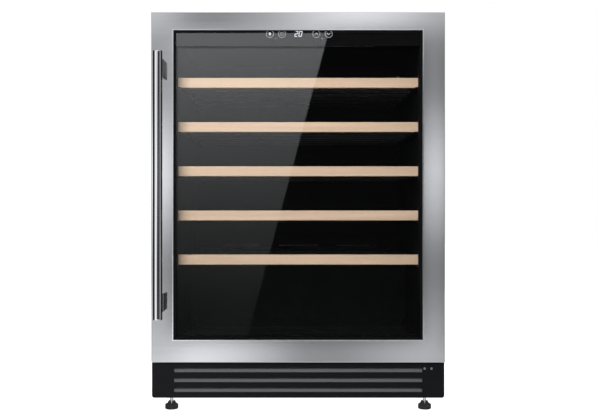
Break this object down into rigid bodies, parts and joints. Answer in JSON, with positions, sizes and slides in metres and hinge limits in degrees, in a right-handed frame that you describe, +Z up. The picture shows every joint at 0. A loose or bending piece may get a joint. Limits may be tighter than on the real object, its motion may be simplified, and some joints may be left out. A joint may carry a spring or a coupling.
{
  "type": "wine cooler",
  "caption": "Under-counter wine cooler with a stainless-framed glass door, bar handle, pull-out wood-fronted shelves and a louvred plinth.",
  "frame": {"origin": "on the floor, below the middle of the closed cooler and its handle", "axes": "+X to the right seen from the front, +Y to the back, +Z up"},
  "size_m": [0.595, 0.6324, 0.82],
  "materials": {
    "stainless": "satin",
    "chrome": "polished",
    "zinc_steel": "satin",
    "black_steel": "satin",
    "dark_steel": "satin",
    "black_plastic": "matte",
    "grey_plastic": "satin",
    "light_plastic": "satin",
    "glass": "gloss",
    "rubber": "matte",
    "beech": "satin",
    "aluminium": "satin",
    "foam": "matte"
  },
  "bodies": {
    "cabinet": {"upper_hinge_bracket": "zinc_steel", "lower_hinge_bracket": "zinc_steel", "hinge_pins": "zinc_steel", "cabinet_screws": "zinc_steel", "front_frame": "black_steel", "side_panels": "black_steel", "top_panel": "black_steel", "back_panel": "zinc_steel", "machine_space_divider": "zinc_steel", "insulation": "foam", "liner": "black_plastic", "drain_tube": "grey_plastic", "shelf_runners": "black_plastic", "bottom_rack": "black_plastic", "lamp_housing": "black_plastic", "lamp_lens": "light_plastic", "temperature_sensor": "grey_plastic", "evaporator": "aluminium", "evaporator_cover": "black_plastic", "circulation_fan_frame": "black_plastic", "condenser_fan_frame": "black_plastic", "compressor": "black_steel", "compressor_grommets": "rubber", "evaporation_tray": "grey_plastic", "condenser": "dark_steel", "electronics_box": "grey_plastic", "rear_cover": "zinc_steel", "mains_gland": "black_plastic", "base_pan": "zinc_steel", "foot_inserts": "zinc_steel", "kick_plate": "black_steel", "kick_grille": "grey_plastic"},
    "door": {"door_skin": "stainless", "door_core": "black_plastic", "outer_glass": "glass", "inner_glass": "glass", "glass_spacer": "aluminium", "touch_control": "black_plastic", "door_gasket": "rubber", "handle_bar": "chrome", "handle_posts": "stainless", "handle_screws": "zinc_steel", "hinge_bushes": "grey_plastic"},
    "shelf_1": {"shelf_1_frame": "dark_steel", "shelf_1_front": "beech"},
    "shelf_2": {"shelf_2_frame": "dark_steel", "shelf_2_front": "beech"},
    "shelf_3": {"shelf_3_frame": "dark_steel", "shelf_3_front": "beech"},
    "shelf_4": {"shelf_4_frame": "dark_steel", "shelf_4_front": "beech"},
    "shelf_5": {"shelf_5_frame": "dark_steel", "shelf_5_front": "beech"},
    "circulation_fan": {"circulation_fan_rotor": "black_plastic"},
    "condenser_fan": {"condenser_fan_rotor": "black_plastic"},
    "foot_front_left": {"front_left_foot": "rubber"},
    "foot_front_right": {"front_right_foot": "rubber"},
    "foot_rear_left": {"rear_left_foot": "rubber"},
    "foot_rear_right": {"rear_right_foot": "rubber"}
  },
  "joints": [
    {"name": "door_hinge", "type": "hinge", "parent": "cabinet", "child": "door", "pos_m": [0.2895, -0.23675, 0.4652], "axis": [0, 0, 1], "range_deg": [0, 120]},
    {"name": "shelf_1_slide", "type": "slide", "parent": "cabinet", "child": "shelf_1", "axis": [0, -1, 0], "range_m": [0, 0.125]},
    {"name": "shelf_2_slide", "type": "slide", "parent": "cabinet", "child": "shelf_2", "axis": [0, -1, 0], "range_m": [0, 0.125]},
    {"name": "shelf_3_slide", "type": "slide", "parent": "cabinet", "child": "shelf_3", "axis": [0, -1, 0], "range_m": [0, 0.125]},
    {"name": "shelf_4_slide", "type": "slide", "parent": "cabinet", "child": "shelf_4", "axis": [0, -1, 0], "range_m": [0, 0.125]},
    {"name": "shelf_5_slide", "type": "slide", "parent": "cabinet", "child": "shelf_5", "axis": [0, -1, 0], "range_m": [0, 0.125]},
    {"name": "circulation_fan_spin", "type": "hinge", "parent": "cabinet", "child": "circulation_fan", "pos_m": [0, 0.24055, 0.723], "axis": [0, 1, 0], "continuous": true},
    {"name": "condenser_fan_spin", "type": "hinge", "parent": "cabinet", "child": "condenser_fan", "pos_m": [-0.164, 0.15225, 0.0795], "axis": [0, 1, 0], "continuous": true},
    {"name": "front_left_foot_height", "type": "slide", "parent": "cabinet", "child": "foot_front_left", "axis": [0, 0, -1], "range_m": [0, 0.025]},
    {"name": "front_right_foot_height", "type": "slide", "parent": "cabinet", "child": "foot_front_right", "axis": [0, 0, -1], "range_m": [0, 0.025]},
    {"name": "rear_left_foot_height", "type": "slide", "parent": "cabinet", "child": "foot_rear_left", "axis": [0, 0, -1], "range_m": [0, 0.025]},
    {"name": "rear_right_foot_height", "type": "slide", "parent": "cabinet", "child": "foot_rear_right", "axis": [0, 0, -1], "range_m": [0, 0.025]}
  ],
  "couplings": [
    {"joint": "shelf_1_slide", "follows": "door_hinge", "m_per_rad": 0.05729},
    {"joint": "shelf_2_slide", "follows": "door_hinge", "m_per_rad": 0.05729},
    {"joint": "shelf_3_slide", "follows": "door_hinge", "m_per_rad": 0.05729},
    {"joint": "shelf_4_slide", "follows": "door_hinge", "m_per_rad": 0.05729},
    {"joint": "shelf_5_slide", "follows": "door_hinge", "m_per_rad": 0.05729}
  ]
}
